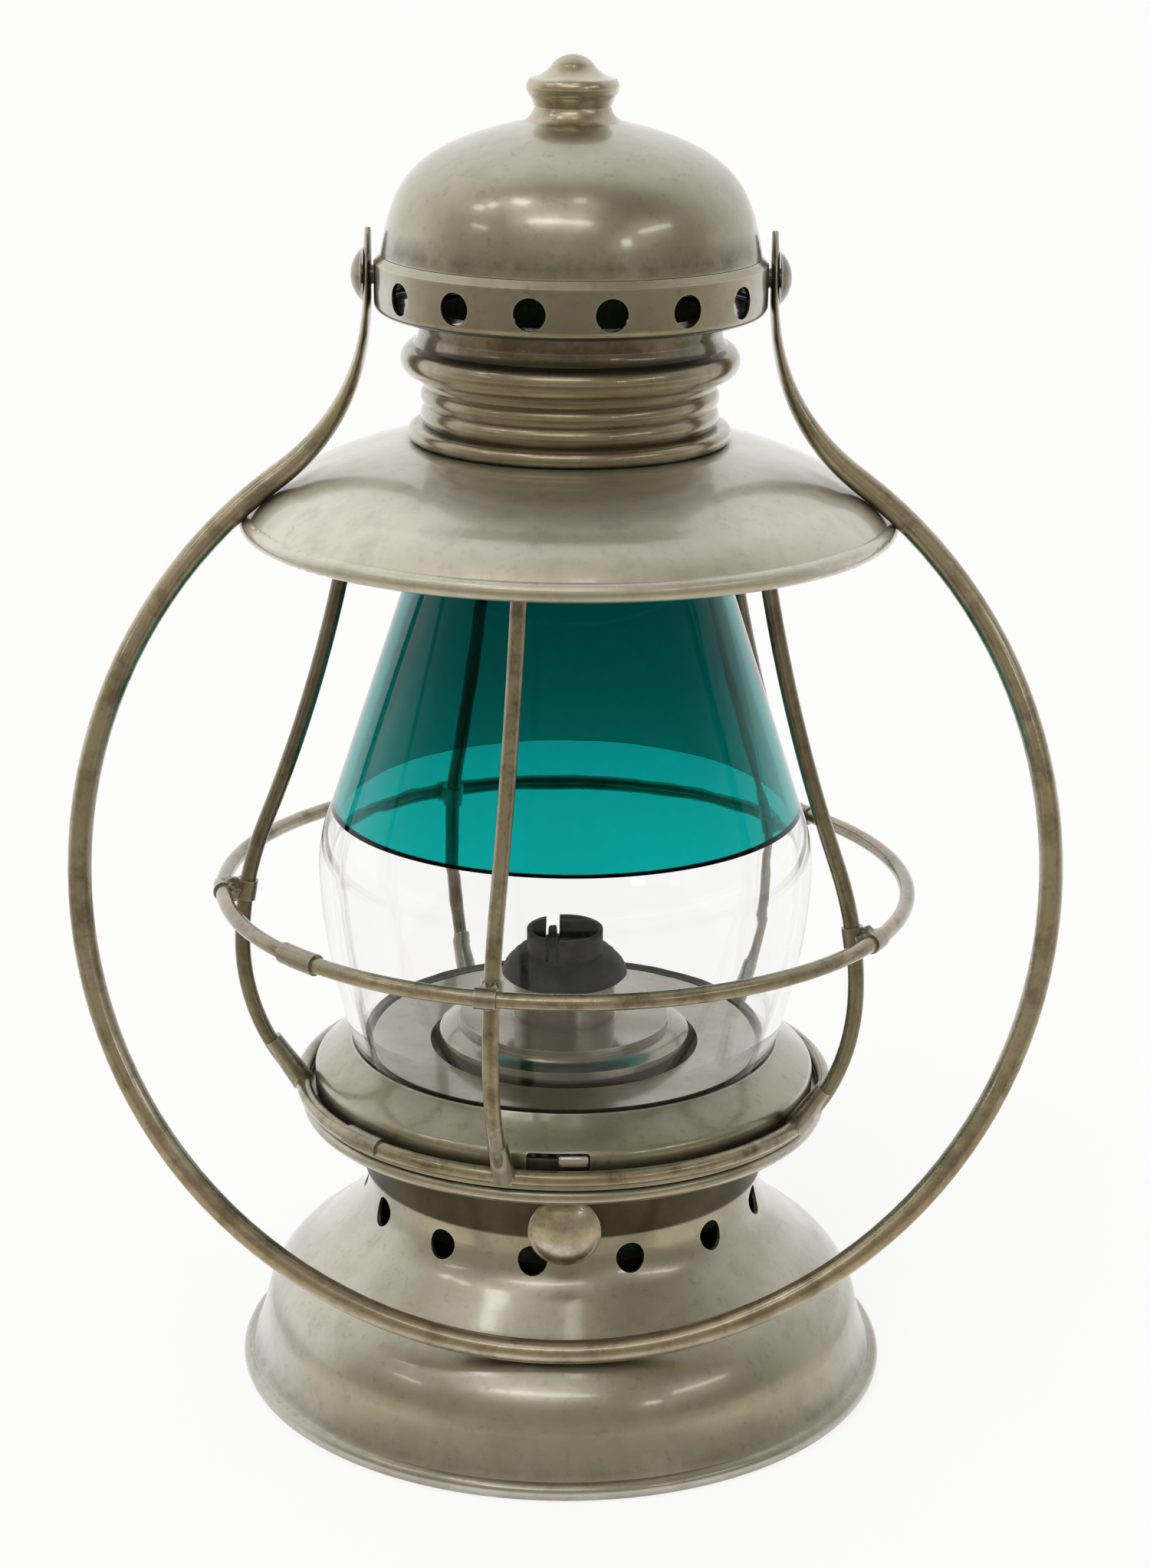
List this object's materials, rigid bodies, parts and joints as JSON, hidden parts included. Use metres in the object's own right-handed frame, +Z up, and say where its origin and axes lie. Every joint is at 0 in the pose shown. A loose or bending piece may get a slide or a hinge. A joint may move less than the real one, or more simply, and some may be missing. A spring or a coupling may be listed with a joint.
{
  "type": "kerosene hand lantern",
  "caption": "Nickelled brass hand lantern with bell base, wire guard, two-colour glass globe, vented chimney hat and swinging wire bail; a side knob raises the wick.",
  "frame": {"origin": "middle of the base, at the surface it stands on", "axes": "+Z up along the lantern; the wick knob and the hanging bail are on the -Y side; +X is to the right as seen in the picture"},
  "size_m": [0.1952, 0.1436, 0.2725],
  "materials": {
    "nickel_base": "worn nickel plate on brass, satin, brown in the creases",
    "base_tin": "dull plain sheet brass, not seen",
    "lug_bright": "bright rubbed metal",
    "burner_brass": "brass with soot",
    "burner_black": "sooted black",
    "knob_nickel": "worn nickel plate",
    "wick_cotton": "charred cotton",
    "nickel_plate": "nickel plate with yellow-green tarnish",
    "guard_wire": "nickelled wire worn brown",
    "guard_solder": "dull soldered sleeves",
    "nickel_hat": "worn nickel plate on brass, soft polish",
    "retainer_brass": "plain spring brass",
    "bail_wire": "nickelled wire, worn and dull",
    "clear_glass": "clear blown glass",
    "tinted_glass": "blue-green blown glass"
  },
  "bodies": {
    "base": {"base_bell": "nickel_base", "base_floor": "base_tin", "base_collar": "nickel_base", "bayonet_lugs": "lug_bright", "fount": "base_tin", "burner_mount": "burner_brass", "burner_body": "burner_brass", "burner_dish": "burner_brass", "burner_cap": "burner_black", "wick_tube": "burner_black", "shaft_bush": "burner_brass"},
    "wick_drive": {"wick_knob": "knob_nickel", "wick_shaft": "burner_brass", "wick_spurs": "burner_brass"},
    "wick_strip": {"wick": "wick_cotton"},
    "upper_frame": {"globe_plate": "nickel_plate", "guard_ring": "guard_wire", "ring_ferrule": "guard_solder", "guard_feet": "guard_solder", "guard_upright_1": "guard_wire", "guard_upright_2": "guard_wire", "guard_upright_3": "guard_wire", "guard_upright_4": "guard_wire", "guard_upright_5": "guard_wire", "guard_hoop": "guard_wire", "hoop_ferrule": "guard_solder", "hoop_ties": "guard_solder", "globe_clear": "clear_glass", "globe_tinted": "tinted_glass", "hat_brim": "nickel_hat", "globe_retainer": "retainer_brass", "chimney_collar": "nickel_hat", "vent_band": "nickel_hat", "smoke_dome": "nickel_hat", "finial": "nickel_hat", "bail_rivet_left": "bail_wire", "bail_rivet_right": "bail_wire"},
    "carry_bail": {"bail": "bail_wire"}
  },
  "joints": [
    {"name": "wick_knob_turn", "type": "hinge", "parent": "base", "child": "wick_drive", "pos_m": [0.00045, -0.045, 0.0494], "axis": [0, 1, 0], "range_deg": [-180, 120]},
    {"name": "wick_lift", "type": "slide", "parent": "base", "child": "wick_strip", "axis": [0, 0, 1], "range_m": [-0.0059, 0.0039]},
    {"name": "frame_twist", "type": "hinge", "parent": "base", "child": "upper_frame", "pos_m": [0, 0, 0.0653], "axis": [0, 0, 1], "range_deg": [0, 6.5]},
    {"name": "bail_swing", "type": "hinge", "parent": "upper_frame", "child": "carry_bail", "pos_m": [0, 0, 0.2301], "axis": [-1, 0, 0], "range_deg": [0, 329.2]}
  ],
  "couplings": [
    {"joint": "wick_knob_turn", "follows": "wick_lift", "rad_per_m": 526.32}
  ]
}
